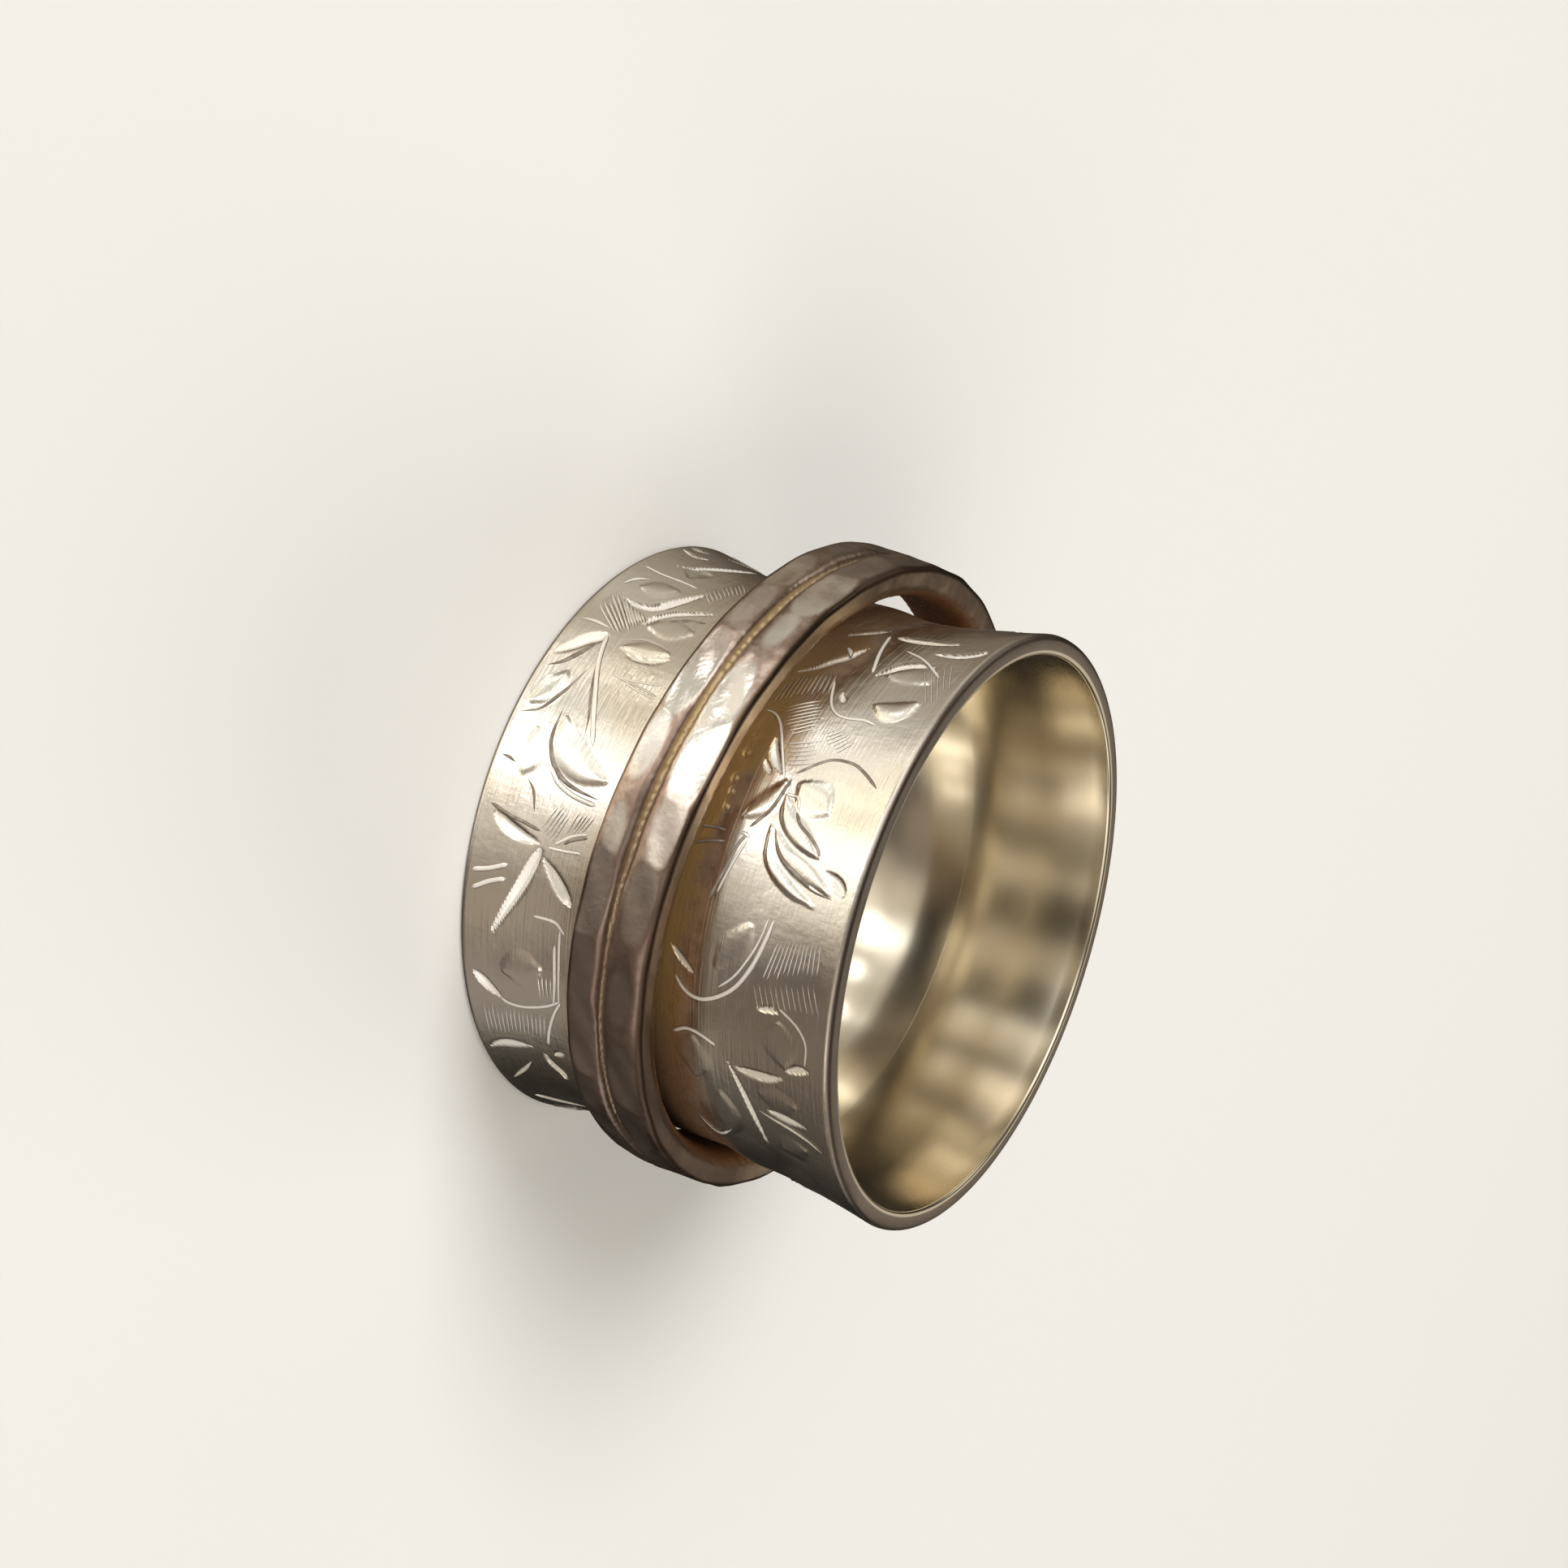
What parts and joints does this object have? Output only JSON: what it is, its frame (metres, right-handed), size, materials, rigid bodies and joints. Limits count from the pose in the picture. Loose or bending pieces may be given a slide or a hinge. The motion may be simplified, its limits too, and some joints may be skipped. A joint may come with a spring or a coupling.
{
  "type": "spinner ring",
  "caption": "Wide silver finger ring with a floral engraved band, flared rims and a loose hammered ring that turns around its middle.",
  "frame": {"origin": "middle of the ring's axis, at the rim that it rests on", "axes": "+X towards the side where the loose ring leans down, which is the bottom of the picture, and +Z along the ring's axis from the resting rim to the upper rim, which is the open mouth in the picture"},
  "size_m": [0.0229, 0.0228, 0.0141],
  "materials": {
    "band_silver": "bright silver sheet with an engraved floral pattern outside, mirror polished inside, warm tarnish beside the track",
    "spinner_silver": "hammered silver with bright flats and a brown-gold tarnished groove"
  },
  "bodies": {
    "band": {"band": "band_silver"},
    "spinner": {"spinner": "spinner_silver"}
  },
  "joints": [
    {"name": "spinner_turn", "type": "hinge", "parent": "band", "child": "spinner", "pos_m": [-0.00042, 0, 0.00685], "axis": [0.0924, 0, 0.9957], "continuous": true}
  ]
}
